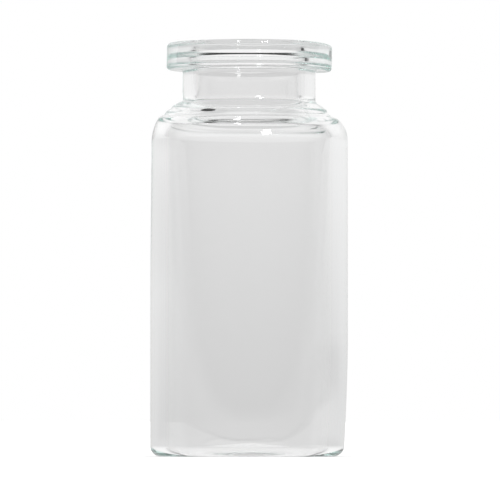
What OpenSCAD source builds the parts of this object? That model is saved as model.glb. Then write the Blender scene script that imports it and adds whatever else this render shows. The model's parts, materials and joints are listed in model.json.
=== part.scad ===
// Glass sample vial with a crimp finish, moulded in one piece of clear glass.
// The vial stands on z = 0 and its axis is the Z axis. All sizes are in millimetres.
// Its whole section, from the foot round to the inner floor, is one outline turned about Z.

/* [Body] */
// Outer diameter of the body
body_d = 23.9; // [22:0.1:30]
// Height of the whole vial, from the foot to the sealing face
vial_h = 50; // [40:1:90]
// Thickness of the side wall
wall_t = 2; // [1:0.1:2.4]

/* [Foot] */
// Rounding of the heel, where the wall turns under
heel_r = 1.2; // [0.6:0.1:1.6]
// Rounding inside, where the wall turns into the floor
inner_heel_r = 0.2; // [0.2:0.1:2.5]
// Thickness of the floor at its edge
floor_t = 0.85; // [0.7:0.05:3]
// How much higher the floor is at its middle than at its edge
floor_rise = 0.8; // [0.1:0.1:1.2]
// Diameter of the shallow hollow under the foot
hollow_d = 15.5; // [10:0.5:18]
// Depth of the hollow under the foot at its middle
hollow_h = 0.2; // [0.1:0.1:0.6]

/* [Shoulder] */
// Outer rounding, where the wall turns into the shoulder
shoulder_r = 3.4; // [2:0.1:3.6]
// Slope of the shoulder below the horizontal, in degrees
shoulder_slope = 36; // [25:1:45]
// Slope of the shoulder's inside below the horizontal, in degrees
inner_slope = 39.5; // [30:0.5:42]
// Thickness of the glass at the middle of the sloping shoulder
shoulder_t = 1.8; // [1.2:0.1:2.4]
// Inner rounding between the side wall and the shoulder
inner_shoulder_r = 1.5; // [0.8:0.1:2]
// Diameter of the mould seam that runs round the shoulder
seam_d = 18.8; // [18:0.1:19.2]
// Step down at the mould seam
seam_step = 0.1; // [0.05:0.05:0.2]

/* [Neck and rim] */
// Outer diameter of the neck
neck_d = 16.1; // [15.4:0.1:17]
// Straight height of the neck, from the shoulder to the rim
neck_h = 3.95; // [3:0.05:8]
// Fillet between the neck and the shoulder
neck_fillet_r = 0.6; // [0.2:0.1:0.8]
// Outer diameter of the crimp rim
rim_d = 20; // [19:0.1:20.4]
// Height of the crimp rim
rim_h = 3.2; // [3:0.1:4]
// Rounding of the rim's upper edge
rim_top_r = 0.4; // [0.1:0.05:0.5]
// Rounding of the rim's lower edge
rim_foot_r = 0.4; // [0.2:0.1:0.8]

/* [Mouth] */
// Inner diameter of the lip
lip_d = 13; // [12.8:0.1:13.3]
// Height of the lip, down to the short cone that opens into the groove
lip_h = 1.4; // [1:0.05:1.6]
// Rounding of the lip's inner edge
lip_r = 0.35; // [0.1:0.05:0.4]
// Inner diameter of the groove that locks the stopper
groove_d = 13.8; // [13.5:0.1:14]
// Height of the short cone between the lip and the groove
ledge_h = 0.45; // [0.1:0.05:0.5]
// Straight height of the groove
groove_h = 0.72; // [0.6:0.02:1.2]
// Inner diameter of the neck
bore_d = 12.6; // [12.2:0.1:12.8]
// Rounding inside, where the neck opens into the body
bore_fillet_r = 3.4; // [1:0.1:3.6]

/* [Hidden] */
// Sides of a whole turn about the axis
$fn = 144;
// Chords that make up each rounded stretch of the outline
ARC_STEPS = 10;

body_r = body_d / 2;
cavity_r = body_r - wall_t;
hollow_r = hollow_d / 2;
seam_r = seam_d / 2;
neck_r = neck_d / 2;
rim_r = rim_d / 2;
lip_edge_r = lip_d / 2;
groove_r = groove_d / 2;
bore_r = bore_d / 2;

// Heights of the rim's underside and of the point where the neck meets the shoulder
rim_z = vial_h - rim_h;
neck_z = rim_z - neck_h;
// Heights of the groove's upper and lower edges
groove_top_z = vial_h - lip_h - ledge_h;
groove_low_z = groove_top_z - groove_h;
// The step between the groove and the neck's bore is a short cone
groove_cone_h = groove_r - bore_r;

// Height of the shoulder's outer slope at a radius, above the seam
function slope_z(r) = neck_z - (r - neck_r) * tan(shoulder_slope);
// The same below the seam, where the shoulder is a step lower
function low_slope_z(r) = slope_z(r) - seam_step;
// Height of the shoulder's inner slope at a radius, and first halfway along it
middle_r = (cavity_r + bore_r) / 2;
middle_z = slope_z(middle_r) - shoulder_t / cos(shoulder_slope);
function inner_slope_z(r) = middle_z - (r - middle_r) * tan(inner_slope);

// Points of an arc about a centre, from one angle to another
function arc(centre, r, from, to) = [
    for (i = [0 : ARC_STEPS])
        let (a = from + (to - from) * i / ARC_STEPS)
        centre + r * [cos(a), sin(a)]
];
// Radius of a shallow dome with a given half width and rise
function dome_r(half_width, rise) = (half_width * half_width + rise * rise) / (2 * rise);

// Where each slope touches its rounding, as an angle of the rounding's circle
slope_angle = 90 - shoulder_slope;
inner_slope_angle = 90 - inner_slope;
// Centres of the shoulder's outer and inner roundings and of the bore's lower rounding
shoulder_touch_r = body_r - shoulder_r + shoulder_r * cos(slope_angle);
shoulder_c = [
    body_r - shoulder_r,
    low_slope_z(shoulder_touch_r) - shoulder_r * sin(slope_angle)
];
inner_touch_r = cavity_r - inner_shoulder_r + inner_shoulder_r * cos(inner_slope_angle);
inner_shoulder_c = [
    cavity_r - inner_shoulder_r,
    inner_slope_z(inner_touch_r) - inner_shoulder_r * sin(inner_slope_angle)
];
bore_touch_r = bore_r + bore_fillet_r - bore_fillet_r * cos(inner_slope_angle);
bore_fillet_c = [
    bore_r + bore_fillet_r,
    inner_slope_z(bore_touch_r) + bore_fillet_r * sin(inner_slope_angle)
];
// Centre of the small fillet in the corner between the neck and the slope
neck_fillet_touch_r = neck_r + neck_fillet_r * (1 - cos(slope_angle));
neck_fillet_c = [
    neck_r + neck_fillet_r,
    slope_z(neck_fillet_touch_r) + neck_fillet_r * sin(slope_angle)
];

// The underside: a shallow hollow inside a flat ring that the vial stands on
hollow_dome_r = dome_r(hollow_r, hollow_h);
underside = arc([0, hollow_h - hollow_dome_r], hollow_dome_r, 90, 90 - asin(hollow_r / hollow_dome_r));

// Outside of the body, from the heel up to the neck
body_outside = concat(
    arc([body_r - heel_r, heel_r], heel_r, -90, 0),
    arc(shoulder_c, shoulder_r, 0, slope_angle),
    [[seam_r + seam_step, low_slope_z(seam_r + seam_step)]],
    [[seam_r, slope_z(seam_r)]],
    arc(neck_fillet_c, neck_fillet_r, 180 + slope_angle, 180)
);

// The crimp rim, from its underside over the lip
rim_outside = concat(
    [[neck_r, rim_z]],
    arc([rim_r - rim_foot_r, rim_z + rim_foot_r], rim_foot_r, -90, 0),
    arc([rim_r - rim_top_r, vial_h - rim_top_r], rim_top_r, 0, 90),
    arc([lip_edge_r + lip_r, vial_h - lip_r], lip_r, 90, 180)
);

// The mouth and the neck's bore, going down
bore_inside = concat(
    [[lip_edge_r, groove_top_z + ledge_h]],
    [[groove_r, groove_top_z]],
    [[groove_r, groove_low_z]],
    [[bore_r, groove_low_z - groove_cone_h]],
    arc(bore_fillet_c, bore_fillet_r, 180, 180 + inner_slope_angle)
);

// The cavity, from the inner shoulder down to the middle of the floor
floor_edge_r = cavity_r - inner_heel_r;
floor_dome_r = dome_r(floor_edge_r, floor_rise);
floor_c = [0, floor_t + floor_rise - floor_dome_r];
cavity = concat(
    arc(inner_shoulder_c, inner_shoulder_r, inner_slope_angle, 0),
    arc([floor_edge_r, floor_t + inner_heel_r], inner_heel_r, 0, -90),
    arc(floor_c, floor_dome_r, 90 - asin(floor_edge_r / floor_dome_r), 90)
);

// Glass section: the outline from the middle of the underside to the middle of the floor
module section() {
    polygon(concat(underside, body_outside, rim_outside, bore_inside, cavity));
}

// The vial, one solid of clear glass
module vial() {
    color([0.86, 0.93, 0.91, 0.4])
        rotate_extrude()
            section();
}

vial();
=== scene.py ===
# %% [markdown]
# # A moulded glass sample vial
# The part is one piece of clear glass: a round body, a sloping shoulder, a short neck and a thick
# rim that a crimp cap is rolled under. The height and the main radii are read from the packed
# solid, so the glass stands where the solid stands; the finer sizes are given here. The solid has
# few faces, and glass shows every flat face as a kink in what is seen through it, so the lesson
# makes a fine piece that stands for it.

# %% Load the solid and read its sizes
import json
import math

import bmesh
import bpy
from mathutils import Matrix, Vector, noise


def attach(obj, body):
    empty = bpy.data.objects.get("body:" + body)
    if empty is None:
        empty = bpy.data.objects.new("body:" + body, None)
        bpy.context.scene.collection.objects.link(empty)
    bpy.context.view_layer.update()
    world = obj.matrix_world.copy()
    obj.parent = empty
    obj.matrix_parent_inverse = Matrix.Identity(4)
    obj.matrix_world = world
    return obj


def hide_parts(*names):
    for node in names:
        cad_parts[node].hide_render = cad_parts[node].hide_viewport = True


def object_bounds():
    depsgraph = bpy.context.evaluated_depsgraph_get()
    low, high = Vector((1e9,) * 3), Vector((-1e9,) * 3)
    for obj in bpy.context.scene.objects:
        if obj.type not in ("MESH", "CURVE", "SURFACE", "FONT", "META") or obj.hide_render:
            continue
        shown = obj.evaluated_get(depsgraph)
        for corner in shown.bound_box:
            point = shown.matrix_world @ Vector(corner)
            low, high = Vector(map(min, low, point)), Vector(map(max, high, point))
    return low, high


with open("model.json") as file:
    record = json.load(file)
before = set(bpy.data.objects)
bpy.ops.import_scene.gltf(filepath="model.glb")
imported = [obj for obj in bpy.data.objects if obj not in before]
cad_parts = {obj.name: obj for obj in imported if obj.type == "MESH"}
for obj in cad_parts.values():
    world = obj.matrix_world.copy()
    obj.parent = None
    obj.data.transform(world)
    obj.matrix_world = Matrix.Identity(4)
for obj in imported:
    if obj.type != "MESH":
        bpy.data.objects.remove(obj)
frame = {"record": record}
MM = 0.001
cad_low, cad_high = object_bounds()
mounts = {mount["name"]: mount for mount in frame["record"]["mounts"]}


def mount_radius(name):
    """The real radius of a round mount, in metres."""
    return mounts[name]["dims"]["r_mm"] * MM


vial_h = cad_high.z - cad_low.z
body_r = mount_radius("body_barrel")
rim_r = mount_radius("crimp_rim")
lip_r = mount_radius("lip_bore")
bore_r = mount_radius("neck_bore")
print("vial", round(vial_h / MM, 2), "mm tall, body radius", round(body_r / MM, 2), "mm")

# %% [markdown]
# ## The section of the glass
# A vial is a body of revolution, so half of its section says everything. The outside is what the
# mould gave it, and is crisp. The inside was blown: the shoulder runs into the neck in one long
# curve, and the floor is pushed up a little in its middle.
#
# The wall is two millimetres thick, and the floor less than half of that at its edge. The mouth has
# a groove inside the rim, in which the bead of a rubber stopper sits.

# %% The outside
heel_r = 1.21 * MM
hollow_r = 7.75 * MM
hollow_h = 0.17 * MM
rim_h = 3.2 * MM
neck_r = 8.05 * MM
neck_h = 3.95 * MM
shoulder_slope = math.tan(math.radians(35.7))
shoulder_r = 3.22 * MM
seam_r = 9.41 * MM
seam_step = 0.065 * MM
rim_z = vial_h - rim_h
neck_z = rim_z - neck_h


def slope_z(radius, drop=0.0):
    """Height of the sloping shoulder at a radius, less a drop for a step."""
    return neck_z - (radius - neck_r) * shoulder_slope - drop


print("the neck meets the shoulder at", round(neck_z / MM, 2), "mm")

# %% [markdown]
# ## The inside
# The inner sizes are given as thicknesses where that is how the glass behaves: a wall, a floor, and
# a shoulder that is measured square to its slope, halfway along it. The inner rounding of the
# shoulder starts at the same height as the outer one: with two different heights, a faint dark ring
# ran round the top of the body.

# %% The inside
wall_t = 2.0 * MM
floor_t = 0.84 * MM
floor_rise = 0.82 * MM
inner_heel_r = 0.21 * MM
inner_slope = math.tan(math.radians(39.45))
shoulder_t = 1.80 * MM
lip_h = 1.63 * MM
groove_r = 6.92 * MM
groove_h = 0.95 * MM
ledge_h = 0.225 * MM
groove_cone_h = 0.7 * MM
cavity_r = body_r - wall_t
groove_top_z = vial_h - lip_h
groove_low_z = groove_top_z - groove_h
middle_r = (cavity_r + bore_r) / 2
middle_z = slope_z(middle_r) - shoulder_t * math.sqrt(1 + shoulder_slope ** 2)


def inner_slope_z(radius):
    """Height of the inside of the shoulder at a radius."""
    return middle_z - (radius - middle_r) * inner_slope


print("inside radius", round(cavity_r / MM, 2), "mm")

# %% [markdown]
# ## Corners first, radii after
# The section starts as a few sharp corners, joined into one flat face. Each corner then gets its
# own rounding with a vertex bevel, which is how a mould maker thinks of it too: straight walls
# first, radii after. A bevel's offset is the length from the corner to where the rounding starts,
# so a helper turns a radius and the angle between the two walls into that length.

# %% Corners of the section
# Each corner is its radius from the axis, its height, and its rounding.
SECTION = [
    (0.0, hollow_h, 0.0),
    (hollow_r * 0.5, hollow_h * 0.75, 3.0 * MM),
    (hollow_r, 0.0, 1.86 * MM),
    (body_r, 0.0, heel_r),
    (body_r, slope_z(body_r, seam_step), shoulder_r),
    (seam_r + seam_step, slope_z(seam_r + seam_step, seam_step), 0.12 * MM),
    (seam_r, slope_z(seam_r), 0.12 * MM),
    (neck_r, neck_z, 0.58 * MM),
    (neck_r, rim_z, 0.42 * MM),
    (rim_r, rim_z, 0.39 * MM),
    (rim_r, vial_h, 0.4 * MM),
    (lip_r, vial_h, 0.65 * MM),
    (lip_r, groove_top_z + ledge_h, 0.69 * MM),
    (groove_r, groove_top_z - ledge_h, 0.47 * MM),
    (groove_r, groove_low_z, 0.43 * MM),
    (bore_r, groove_low_z - groove_cone_h, 1.42 * MM),
    (bore_r, inner_slope_z(bore_r), 2.98 * MM),
    (cavity_r, inner_slope_z(cavity_r), 1.58 * MM),
    (cavity_r, floor_t, inner_heel_r),
    (0.0, floor_t + floor_rise, 0.0),
]
print(len(SECTION), "corners")

# %% [markdown]
# ## One bevel for each corner
# A vertex bevel on the flat face rounds one corner at a time. The number of its short edges follows
# the length of the arc, so tight and wide roundings come out equally smooth, which matters in
# glass: a flat spot would show as a broken reflection.

# %% Round the corners
FINE_STEP = 0.14 * MM


def section_face(corners):
    """A bmesh with the section as one flat face in the XZ plane, its corners rounded."""
    bm = bmesh.new()
    points = [Vector((r, 0, z)) for r, z, rounding in corners]
    ring = [bm.verts.new(point) for point in points]
    bm.faces.new(ring)
    for place in range(1, len(corners) - 1):
        before, corner, after = points[place - 1:place + 2]
        rounding = corners[place][2]
        turn = (corner - before).angle(after - corner)
        bmesh.ops.bevel(
            bm, geom=[ring[place]], affect="VERTICES", offset_type="OFFSET", material=-1,
            offset=rounding * math.tan(turn / 2), profile=0.5,
            segments=max(6, round(rounding * turn / FINE_STEP)),
        )
    return bm


section = section_face(SECTION)
print("section:", len(section.verts), "points")

# %% [markdown]
# ## Spin the section into a vial
# The face is thrown away and its edges kept, apart from the one that lies on the axis. The long
# walls are cut into short lengths, so that they can be made a little uneven later, and the sloping
# shoulder into shorter ones. Each wall also gets a point just inside its ends: smooth shading
# blends across the last stretch before a rounding, and glass would show that blend as a false bend.
#
# A full spin with `use_merge` turns the outline into a closed skin, and the fans at the axis are
# merged to a point each. The skin is outside and inside of the glass in one, so it needs no
# thickness.

# %% Spin
TURN_STEPS = 240
WALL_STEP = 1.2 * MM
SHOULDER_STEP = 0.13 * MM
HOLD_STEP = 0.03 * MM


def hold_ends(bm):
    """Adds a point just inside each end of the straight walls, so that they shade straight."""
    for edge in [e for e in bm.edges if e.calc_length() > 1.5 * FINE_STEP]:
        start, end = edge.verts
        held = bmesh.utils.edge_split(edge, start, HOLD_STEP / edge.calc_length())[1]
        rest = next(e for e in held.link_edges if end in e.verts)
        bmesh.utils.edge_split(rest, end, HOLD_STEP / rest.calc_length())


def cut_walls(bm):
    """Cuts the straight walls into short lengths, shorter on the shoulder's slope."""
    for edge in list(bm.edges):
        middle = (edge.verts[0].co + edge.verts[1].co) / 2
        on_slope = neck_r < middle.x < body_r and 40 * MM < middle.z < 44 * MM
        step = SHOULDER_STEP if on_slope else WALL_STEP
        cuts = int(edge.calc_length() / step)
        if cuts:
            bmesh.ops.subdivide_edges(bm, edges=[edge], cuts=cuts)


def spun_glass(bm):
    """Turns the rounded section into one closed skin."""
    bmesh.ops.delete(bm, geom=list(bm.faces), context="FACES_ONLY")
    on_axis = [e for e in bm.edges if all(abs(v.co.x) < 1e-7 for v in e.verts)]
    bmesh.ops.delete(bm, geom=on_axis, context="EDGES")
    hold_ends(bm)
    cut_walls(bm)
    bmesh.ops.spin(
        bm, geom=list(bm.verts) + list(bm.edges), cent=(0, 0, 0), axis=(0, 0, 1),
        angle=math.tau, steps=TURN_STEPS, use_merge=True, use_duplicate=False,
    )
    bmesh.ops.remove_doubles(bm, verts=bm.verts, dist=1e-6)
    bmesh.ops.recalc_face_normals(bm, faces=bm.faces)
    return bm


glass_bm = spun_glass(section)
print("glass:", len(glass_bm.faces), "faces, closed:", all(e.is_manifold for e in glass_bm.edges))
print("glass volume", round(glass_bm.calc_volume() * 1e9), "cubic mm")

# %% [markdown]
# ## Leave the marks of the mould
# A real moulded vial is never quite round. Its heel draws in a little on one side, the shoulder
# stands a little proud on the other, and the seam round the shoulder is deeper at the sides, where
# the halves of the mould meet. The bore sits off the axis by less than a tenth of a millimetre, the
# rim is made in two halves that meet with a tiny step, and the ring that it stands on is gently
# wavy.
#
# These marks are what makes clear glass look like glass, so every point of the skin is moved by a
# few smooth rules. The waves come from Blender's own noise, which gives the same answer at every
# run. All lengths in these rules are in millimetres.

# %% Helpers for smooth rules
def ramp(value, start, end):
    """0 before start, 1 after end, smooth between."""
    share = min(1.0, max(0.0, (value - start) / (end - start)))
    return share * share * (3 - 2 * share)


def wave(place, length, turn):
    """Smooth noise between -1 and 1, with waves of about a given length."""
    return noise.noise(place / length + Vector((turn, 0, 0)))


print("halfway up a ramp:", ramp(0.5, 0, 1))

# %% How far each point moves
HEEL_DRAW = 0.5
SHOULDER_RISE = 0.5
SEAM_DROP = 0.25
LEFT_DRAW = 0.15
BORE_OFF_AXIS = 0.08
RIM_HALVES = 0.05
FOOT_WAVE = 0.12
LEAN_TOP_Z = 14
RIM_PARTING_Z = 48.3
SEAM_RADIUS = seam_r / MM


def drawn_in(place, radius, right):
    """How far the right side leans in towards the heel, in millimetres."""
    return HEEL_DRAW * right ** 3 * max(0.0, 1 - place.z / LEAN_TOP_Z) ** 1.6 * min(1.0, radius / 10)


def seam_drop(place, radius, right, left):
    """How far the shoulder drops below its seam, which runs further out on the left."""
    below_right = ramp(radius, SEAM_RADIUS, SEAM_RADIUS + 0.06) * ramp(radius, 11.0, 10.0)
    below_left = 0.8 * ramp(radius, 10.2, 10.45) * ramp(radius, 11.2, 10.6)
    drop = right ** 4 * below_right + left ** 4 * below_left
    return SEAM_DROP * drop * ramp(place.z, 39, 40)


def outside_shift(place, radius):
    """The outside: a heel drawn in, a proud shoulder with its seam, a rim made of two halves."""
    right = max(0.0, place.x / radius)
    left = max(0.0, -place.x / radius)
    z = place.z
    shift = Vector((0, 0, 0))
    shift.x -= drawn_in(place, radius, right)
    shift.x += LEFT_DRAW * left ** 3 * ramp(z, 20, 40) * ramp(z, 44, 41)
    proud = ramp(z, 38.6, 40.6) * ramp(z, 43.4, 42.0) * ramp(radius, 7.0, 8.0)
    shift.z += SHOULDER_RISE * left ** 4 * proud
    shift.z -= seam_drop(place, radius, right, left)
    if z > RIM_PARTING_Z:
        shift.x += RIM_HALVES
    ring = ramp(z, 1.0, 0.3) * ramp(radius, 6.0, 8.5) * ramp(radius, 11.2, 10.0)
    shift.z += FOOT_WAVE * abs(wave(place, 2.6, 3.0)) * ring
    return shift


def inside_shift(place, radius):
    """The inside: it follows the outside, and its bore sits a little off the axis."""
    right = max(0.0, place.x / radius)
    left = max(0.0, -place.x / radius)
    z = place.z
    shift = Vector((0, 0, 0))
    shift.x -= drawn_in(place, radius, right)
    proud = ramp(z, 38.4, 39.8) * ramp(z, 44, 41) * ramp(radius, 7.0, 8.0)
    shift.z += 0.9 * SHOULDER_RISE * left ** 4 * proud
    shift.x -= BORE_OFF_AXIS * ramp(z, 37, 44)
    return shift


print("the right heel draws in by", round(-outside_shift(Vector((11.9, 0, 0)), 11.9).x, 2), "mm")

# %% [markdown]
# ## Move every point
# The outside and the inside have a rule each. A point belongs to the inside if its skin faces the
# axis, or if it is part of the inner floor. The two skins meet only in the rim's flat top, so there
# the rules are blended from the lip out to the rim; a sudden change would fold the glass.

# %% Settle the glass
def settle(bm):
    """Moves the perfect skin to where the mould and the cooling left it."""
    bm.normal_update()
    for vert in bm.verts:
        place = vert.co / MM
        radius = max(0.001, math.hypot(place.x, place.y))
        facing_out = (vert.normal.x * place.x + vert.normal.y * place.y) / radius
        inside = place.z > 0.5 and (facing_out < -0.05 or (vert.normal.z > 0.5 and place.z < 10))
        outer_share = 0.0 if inside else 1.0
        if place.z > RIM_PARTING_Z:
            outer_share = ramp(radius, 7.3, 9.4)
        shift = inside_shift(place, radius).lerp(outside_shift(place, radius), outer_share)
        vert.co += shift * MM


settle(glass_bm)
print("glass volume after settling", round(glass_bm.calc_volume() * 1e9), "cubic mm")

# %% [markdown]
# ## A painted dark spot in the shoulder
# The shoulder shows one small dark spot, long and thin, where the glass shows a dark part of its
# surroundings. It is painted in as shade: a dark flattened ball just under the skin of the shoulder,
# stretched along the wall and turned with it. It is the only thing in the glass that is not clear,
# so its faces take the second material. What really makes the dark spot can't be told from outside,
# so the painted spot is a guess.

# %% Painted dark spot
# size, turn and place of the dark spot of painted shade
SHADE_SPOT_SIZE = Vector((1.04, 0.15, 0.28)) * MM
SHADE_SPOT_TURN = math.radians(-30)
SHADE_SPOT_PLACE = Vector((-4.86, -8.18, 41.42)) * MM


def add_painted_shade_spot(bm):
    """A small long dark spot of painted shade just under the skin, with the second material."""
    verts = bmesh.ops.create_uvsphere(bm, u_segments=32, v_segments=16, radius=1.0)["verts"]
    bmesh.ops.scale(bm, verts=verts, vec=SHADE_SPOT_SIZE)
    bmesh.ops.rotate(bm, verts=verts, cent=(0, 0, 0), matrix=Matrix.Rotation(SHADE_SPOT_TURN, 3, "Z"))
    bmesh.ops.translate(bm, verts=verts, vec=SHADE_SPOT_PLACE)
    for face in {face for vert in verts for face in vert.link_faces}:
        face.material_index = 1


add_painted_shade_spot(glass_bm)
print("fleck", round(2 * SHADE_SPOT_SIZE.x / MM, 1), "mm long")

# %% [markdown]
# ## Make it an object
# The skin is shaded smooth. Each of its points has its own normal, and the Weighted Normal modifier
# lets the larger faces have more say in it, so that a flat face stays flat right up to its rounded
# edge. In glass this shows: a normal that is off by a degree bends the view by as much.

# %% Make the object
def finished(name, bm):
    """A mesh object from a bmesh, smooth, at the origin."""
    mesh = bpy.data.meshes.new(name)
    bm.to_mesh(mesh)
    bm.free()
    mesh.shade_smooth()
    piece = bpy.data.objects.new(name, mesh)
    bpy.context.scene.collection.objects.link(piece)
    return piece


glass = finished("glass_vial", glass_bm)
even_shading = glass.modifiers.new("even_shading", "WEIGHTED_NORMAL")
even_shading.weight = 50
print(glass.name, len(glass.data.polygons), "faces")

# %% [markdown]
# ## Clear soda glass
# The glass has no colour at its skin. It has a little green in its depth, from the iron in the
# sand, and that only shows where one looks through a lot of it: at the heel, the rim and the
# corners of the shoulder. So the surface is plain and white, and a volume takes the colour away
# along the path of the light.

# %% Glass
def clear_glass(name):
    """Clear soda glass: no colour at the skin, a little green along its depth."""
    material = bpy.data.materials.new(name)
    material.use_nodes = True
    nodes = material.node_tree.nodes
    links = material.node_tree.links
    shader = nodes["Principled BSDF"]
    shader.inputs["Base Color"].default_value = (1, 1, 1, 1)
    shader.inputs["Roughness"].default_value = 0.0
    shader.inputs["IOR"].default_value = 1.52
    shader.inputs["Transmission Weight"].default_value = 1.0
    depth = nodes.new("ShaderNodeVolumeAbsorption")
    depth.inputs["Color"].default_value = (0.55, 0.86, 0.80, 1)
    depth.inputs["Density"].default_value = 8.0
    links.new(depth.outputs["Volume"], nodes["Material Output"].inputs["Volume"])
    return material


def painted_shade_material(name):
    """A dull dark grey: the painted shade of the dark spot in the shoulder."""
    material = bpy.data.materials.new(name)
    material.use_nodes = True
    shader = material.node_tree.nodes["Principled BSDF"]
    shader.inputs["Base Color"].default_value = (0.06, 0.06, 0.06, 1)
    shader.inputs["Roughness"].default_value = 0.6
    return material


glass.data.materials.append(clear_glass("clear_glass"))
# the second material is painted shade: the dark spot in the shoulder
glass.data.materials.append(painted_shade_material("painted_shade_material"))
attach(glass, "root")
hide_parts("vial")
print("the glass stands for the solid of node vial")

# %% [markdown]
# ## Sums inside a material
# Several looks below are worked out from a place or a direction: how far a point of the floor is
# from the vial, or how high a stretch of the surround stands. Such sums are made of small maths
# nodes, so two helpers make them: one for plain arithmetic, one for a smooth change between two
# limits.

# %% Helpers for sums
DEGREE = math.radians(1)


def maths(tree, operation, first, second=None):
    """One maths node, fed with numbers or with other nodes' outputs."""
    node = tree.nodes.new("ShaderNodeMath")
    node.operation = operation
    for socket, value in zip(node.inputs, (first, second)):
        if isinstance(value, (int, float)):
            socket.default_value = value
        elif value is not None:
            tree.links.new(value, socket)
    return node.outputs[0]


def times(tree, first, second):
    """The product of two values."""
    return maths(tree, "MULTIPLY", first, second)


def change(tree, value, low, high, start, end, kind="SMOOTHSTEP"):
    """A value that goes from start to end while another goes from low to high."""
    node = tree.nodes.new("ShaderNodeMapRange")
    node.interpolation_type = kind
    tree.links.new(value, node.inputs["Value"])
    for name, number in (("From Min", low), ("From Max", high), ("To Min", start), ("To Max", end)):
        node.inputs[name].default_value = number
    return node.outputs[0]


def place_and_level(tree, output):
    """X, Y, Z and the level distance from the axis, of a texture coordinate."""
    coordinate = tree.nodes.new("ShaderNodeTexCoord")
    split = tree.nodes.new("ShaderNodeSeparateXYZ")
    tree.links.new(coordinate.outputs[output], split.inputs[0])
    x, y, z = split.outputs
    level = maths(tree, "SQRT", maths(tree, "ADD", times(tree, x, x), times(tree, y, y)))
    return x, y, z, maths(tree, "MAXIMUM", level, 0.0001)


def seen_through_glass(tree):
    """1 for a ray that a glass surface has bent or mirrored."""
    path = tree.nodes.new("ShaderNodeLightPath")
    bent = maths(tree, "MAXIMUM", path.outputs["Is Glossy Ray"], path.outputs["Is Transmission Ray"])
    return bent, path.outputs["Is Camera Ray"]


print("helpers ready")

# %% [markdown]
# ## A sheet to stand on
# The vial stands on a wide plain sheet. It lies a hair below the foot, because two faces in one
# plane would fight over which is seen.

# %% Floor piece
def floor_piece():
    """A wide round sheet, a hair below the foot so that the two never share a plane."""
    bm = bmesh.new()
    bmesh.ops.create_circle(bm, cap_ends=True, radius=4.0, segments=96)
    bmesh.ops.translate(bm, verts=bm.verts, vec=(0, 0, -0.02 * MM))
    return finished("floor", bm)


floor = floor_piece()
print("floor", round(floor.dimensions.x, 1), "m across")

# %% [markdown]
# ## What the glass sees of the floor
# Clear glass has no look of its own: every line in it is a piece of its surroundings, bent or
# mirrored. So the sheet needs a rule for the light it sends into the glass. It is a little darker
# close to the vial, which stands in its own way. In front it ends at the edge of the table: a dark
# gap, with a dimmer floor beyond. The edge runs past the vial at a slant, so the sum works with one
# over the distance of the edge, which changes evenly with the direction. The room's light is a touch
# warm, which leaves the green of the glass to its thick edges.

# %% Light from the floor
ROOM_COLOR = (1.0, 0.99, 0.992, 1)
EDGE_AHEAD = 1.87


def table_edge(tree, front, side):
    """One over the distance of the table's front edge, by direction."""
    ahead = maths(tree, "MAXIMUM", maths(tree, "ADD", front, 0.05), 0.0)
    left_edge = times(tree, maths(tree, "POWER", ahead, 2.2), 1.45)
    left_edge = maths(tree, "ADD", left_edge, 0.26)
    right_edge = maths(tree, "ADD", times(tree, side, 0.8), EDGE_AHEAD)
    on_right = maths(tree, "GREATER_THAN", side, 0.0)
    more = times(tree, on_right, maths(tree, "SUBTRACT", right_edge, left_edge))
    return maths(tree, "ADD", left_edge, more)


def less(tree, light, share, most):
    """A light made weaker, by at most the given part, where the share is 1."""
    return times(tree, light, maths(tree, "SUBTRACT", 1.0, times(tree, share, most)))


def floor_glow(tree):
    """The light of the sheet at each place, as the glass sees it."""
    x, y, z, level = place_and_level(tree, "Object")
    front = maths(tree, "DIVIDE", times(tree, y, -1.0), level)
    side = maths(tree, "DIVIDE", x, level)
    reach = maths(tree, "DIVIDE", 1.0, times(tree, table_edge(tree, front, side), level))
    beyond = change(tree, reach, 0.9, 1.1, 1.0, 0.0)
    beyond = times(tree, beyond, change(tree, front, -0.65, -0.15, 0.0, 1.0))
    off_edge = maths(tree, "ABSOLUTE", maths(tree, "SUBTRACT", reach, 1.0))
    gap = change(tree, off_edge, 0.05, 0.2, 1.0, 0.0)
    gap = times(tree, gap, change(tree, front, 0.0, 0.35, 0.0, 1.0))
    far_side = change(tree, front, -0.96, -0.8, 0.0, 1.0)
    far_side = times(tree, far_side, change(tree, level, 0.15, 0.9, 0.0, 1.0))
    glow = maths(tree, "SUBTRACT", 0.75, change(tree, level, 0.015, 0.12, 0.08, 0.0))
    return less(tree, less(tree, less(tree, glow, far_side, 0.08), beyond, 0.5), gap, 1.0)


print("the table ends", round(1 / EDGE_AHEAD, 2), "m in front of the vial")

# %% [markdown]
# ## A pale floor
# The sheet itself is matt and nearly white, and keeps the soft shadow of the vial. Seen directly it
# also gives a little light of its own, so that it runs into the white behind without a line. The
# rays that come through the glass get the light of the rule above instead.

# %% Floor material
def pale_floor(name):
    """Matt white for the eye, the floor's own light for the glass."""
    material = bpy.data.materials.new(name)
    material.use_nodes = True
    tree = material.node_tree
    shader = tree.nodes["Principled BSDF"]
    shader.inputs["Base Color"].default_value = (0.92, 0.92, 0.92, 1)
    shader.inputs["Roughness"].default_value = 0.9
    shader.inputs["Specular IOR Level"].default_value = 0.0
    shader.inputs["Emission Color"].default_value = (1, 1, 1, 1)
    bent, camera_ray = seen_through_glass(tree)
    tree.links.new(times(tree, camera_ray, 0.3), shader.inputs["Emission Strength"])
    sheet_light = tree.nodes.new("ShaderNodeEmission")
    sheet_light.inputs["Color"].default_value = ROOM_COLOR
    tree.links.new(floor_glow(tree), sheet_light.inputs["Strength"])
    mixed = tree.nodes.new("ShaderNodeMixShader")
    tree.links.new(bent, mixed.inputs[0])
    tree.links.new(shader.outputs["BSDF"], mixed.inputs[1])
    tree.links.new(sheet_light.outputs[0], mixed.inputs[2])
    tree.links.new(mixed.outputs[0], tree.nodes["Material Output"].inputs["Surface"])
    return material


floor.data.materials.append(pale_floor("pale_floor"))
print("floor material:", floor.data.materials[0].name)

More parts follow.
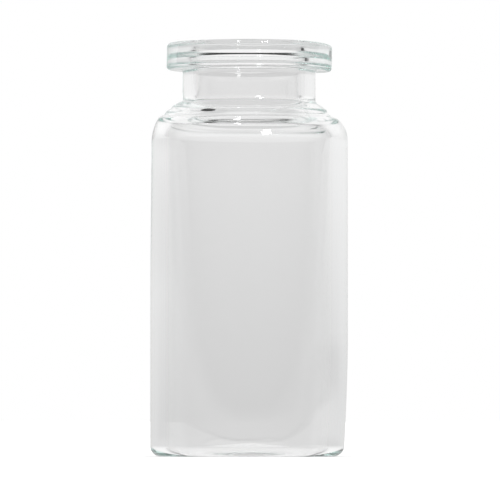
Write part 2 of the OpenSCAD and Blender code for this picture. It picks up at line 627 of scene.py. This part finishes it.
# %% [markdown]
# ## The surround
# For the glass there is a pale backdrop at the back, less and less of it to the sides, a dark room
# in front, and a ceiling over it all. It is set for the view from the front. The backdrop is a
# little darker near its foot, which gives the body its even grey from top to bottom. The dark room
# starts just above the edge of the table, and this is what draws the thin dark lines in the rim and
# in the shoulder. Seen directly, and for all other light, the surround is plain white.

# %% Light from the surround
LOW_BAND = 2.1 * DEGREE


def surround_strength(tree):
    """How bright each direction of the room is for the glass."""
    x, y, z, level = place_and_level(tree, "Generated")
    front = maths(tree, "DIVIDE", times(tree, y, -1.0), level)
    backdrop = change(tree, z, 0.0, LOW_BAND, 0.75, 0.88, "LINEAR")
    upper = change(tree, z, LOW_BAND, 9.0 * DEGREE, 0.0, 0.12, "LINEAR")
    backdrop = maths(tree, "ADD", backdrop, upper)
    off_middle = change(tree, front, -0.96, -0.8, 0.0, 1.0)
    low_side = times(tree, off_middle, change(tree, z, 0.0, LOW_BAND, 1.0, 0.0, "LINEAR"))
    backdrop = less(tree, backdrop, low_side, 0.08)
    backdrop = times(tree, backdrop, change(tree, front, -0.65, -0.15, 1.0, 0.40))
    # the dark room starts level in front, and higher and higher towards the back
    rise = maths(tree, "POWER", maths(tree, "SUBTRACT", 1.0, front), 2.0)
    rise = times(tree, rise, 1.0 * DEGREE)
    behind = maths(tree, "MAXIMUM", times(tree, front, -1.0), 0.0)
    rise = maths(tree, "ADD", rise, times(tree, times(tree, behind, behind), 6.0 * DEGREE))
    room = change(tree, maths(tree, "SUBTRACT", z, rise), -0.0015, 0.0015, 0.0, 1.0)
    room = times(tree, room, change(tree, front, -0.75, -0.35, 0.0, 1.0))
    ceiling = change(tree, z, 0.70, 0.85, 0.0, 1.0)
    return less(tree, less(tree, backdrop, ceiling, 0.65), room, 0.95)


print("the backdrop darkens over its lowest", round(LOW_BAND / DEGREE, 1), "degrees")

# %% [markdown]
# ## Two worlds in one
# A mix picks between them by the kind of ray: rays that a glass surface has bent or mirrored get
# the room above, and every other ray gets plain white.

# %% World
def background(tree, strength, color=(1, 1, 1, 1)):
    """A background of the given strength, white unless it gets a colour."""
    node = tree.nodes.new("ShaderNodeBackground")
    node.inputs["Color"].default_value = color
    if isinstance(strength, float):
        node.inputs["Strength"].default_value = strength
    else:
        tree.links.new(strength, node.inputs["Strength"])
    return node.outputs[0]


def studio_world():
    """White all round, and the room's own light for rays that come through the glass."""
    world = bpy.data.worlds.new("studio")
    bpy.context.scene.world = world
    world.use_nodes = True
    tree = world.node_tree
    tree.nodes.clear()
    bent, camera_ray = seen_through_glass(tree)
    mixed = tree.nodes.new("ShaderNodeMixShader")
    tree.links.new(maths(tree, "SUBTRACT", bent, camera_ray), mixed.inputs[0])
    tree.links.new(background(tree, 1.0), mixed.inputs[1])
    tree.links.new(background(tree, surround_strength(tree), ROOM_COLOR), mixed.inputs[2])
    out = tree.nodes.new("ShaderNodeOutputWorld")
    tree.links.new(mixed.outputs[0], out.inputs["Surface"])
    return world


print("world:", studio_world().name)

# %% [markdown]
# ## One soft lamp
# The small white glints on the rim, the neck and the shoulder are all the same lamp: a tall narrow
# soft box, a little to the right of the eye and above it. Rounded glass mirrors it as a dot, a
# short stroke or a wide patch, depending on how tightly it curves.

# %% Highlight lamp
lamp_away = 0.6
lamp_azimuth = math.radians(22)
lamp_elevation = math.radians(24)
lamp_data = bpy.data.lights.new("key_lamp", "AREA")
lamp_data.shape = "RECTANGLE"
lamp_data.size = 0.09
lamp_data.size_y = 0.20
lamp_data.energy = 2.6
lamp = bpy.data.objects.new("key_lamp", lamp_data)
bpy.context.scene.collection.objects.link(lamp)
aim = Vector((0, 0, vial_h / 2))
towards = Vector((
    math.sin(lamp_azimuth) * math.cos(lamp_elevation),
    -math.cos(lamp_azimuth) * math.cos(lamp_elevation),
    math.sin(lamp_elevation),
))
lamp.location = aim + lamp_away * towards
lamp.rotation_mode = "QUATERNION"
lamp.rotation_quaternion = towards.to_track_quat("Z", "Y")
lamp.visible_diffuse = False
print("lamp", round(lamp.location.z, 2), "m above the floor")

# %% [markdown]
# ## Camera
# A product shot of a small vial: far away with a long lens, so that the upright walls stay upright,
# and the lens almost down on the table, so that the foot is seen edge on and the rim a little from
# below.

# %% Camera
camera_away = 0.80
eye_height = 5.0 * MM
frame_height = 60.5 * MM
target = Vector((0.11 * MM, 0, 24.96 * MM))
camera_data = bpy.data.cameras.new("camera")
camera_data.sensor_width = 36
camera_data.lens = 36 * camera_away / frame_height
camera_data.clip_start = 0.01
camera_data.clip_end = 50
camera = bpy.data.objects.new("camera", camera_data)
bpy.context.scene.collection.objects.link(camera)
bpy.context.scene.camera = camera
camera.location = Vector((target.x, -camera_away, eye_height))
camera.rotation_mode = "QUATERNION"
camera.rotation_quaternion = (target - camera.location).to_track_quat("-Z", "Y")
print("lens", round(camera_data.lens), "mm")

# %% [markdown]
# ## Let the light go all the way
# Light can run round inside a glass rim for a long time before it gets out. With too few bounces
# allowed, those stretches would turn black.

# %% Light paths
cycles = bpy.context.scene.cycles
cycles.max_bounces = 128
cycles.transmission_bounces = 128
cycles.glossy_bounces = 128
print("up to", cycles.max_bounces, "bounces")

# %% Finish
bpy.context.scene.view_settings.view_transform = "Standard"
